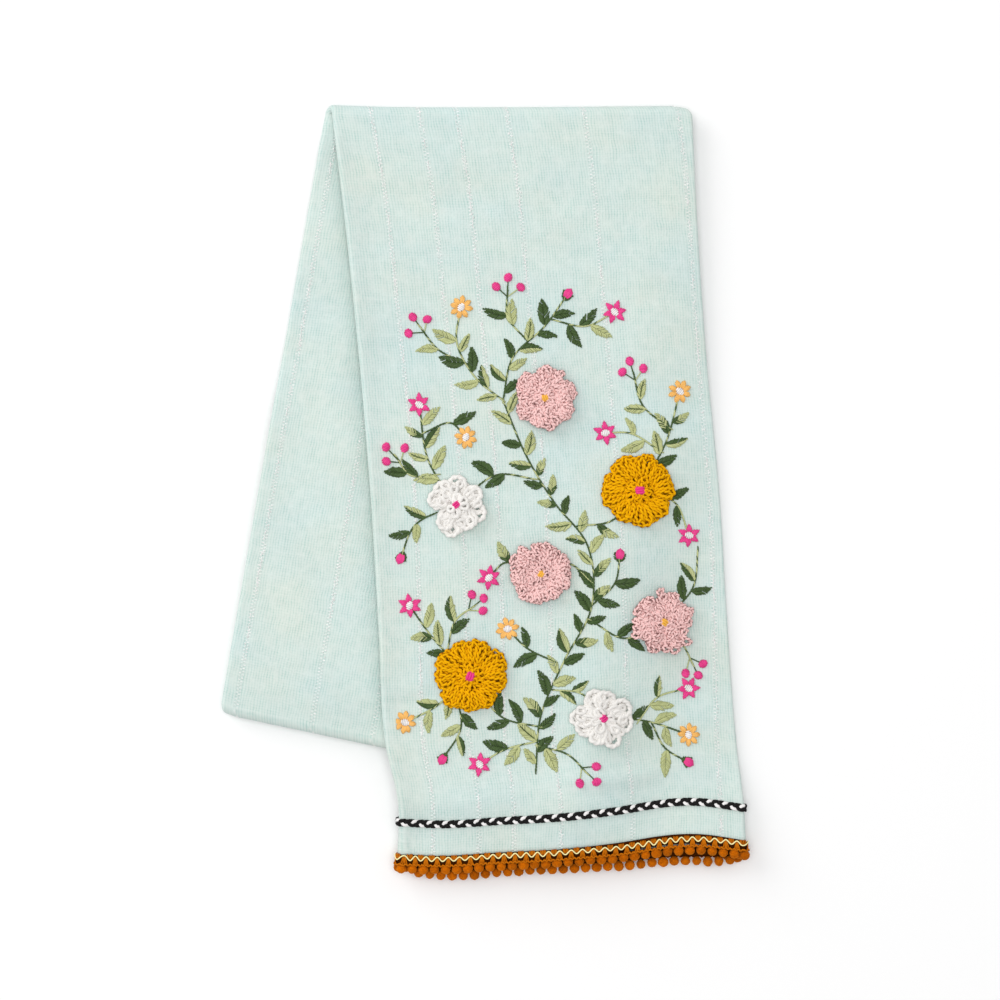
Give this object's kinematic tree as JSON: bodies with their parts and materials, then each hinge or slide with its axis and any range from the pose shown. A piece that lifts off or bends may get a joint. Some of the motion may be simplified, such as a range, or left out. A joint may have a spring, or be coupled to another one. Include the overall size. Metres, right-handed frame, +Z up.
{
  "type": "dish towel",
  "caption": "Aqua slub cotton dish towel, folded in thirds and over at the top, with a plaited band, pom-pom trim and crochet flowers.",
  "frame": {"origin": "on the surface the towel lies on, under the middle of its outline seen from above", "axes": "+Y from the trimmed end to the top fold, +X to the right seen from above with the top fold away from the viewer, +Z up through the layers"},
  "size_m": [0.2269, 0.3342, 0.0192],
  "materials": {
    "cloth": "matte plain-weave slub cotton",
    "braid": "matte cotton plait, two black strands and one white",
    "pompom": "velvety cut pile on a looped heading",
    "yarn_mustard": "matte crochet yarn",
    "yarn_white": "matte crochet yarn",
    "yarn_pink": "matte crochet yarn"
  },
  "bodies": {
    "root": {"towel_cloth": "cloth", "braid_trim": "braid", "pompom_trim": "pompom", "flower_mustard_low": "yarn_mustard", "flower_mustard_high": "yarn_mustard", "flower_white_low": "yarn_white", "flower_white_high": "yarn_white", "flower_pink_low": "yarn_pink", "flower_pink_mid": "yarn_pink", "flower_pink_top": "yarn_pink"}
  },
  "joints": []
}
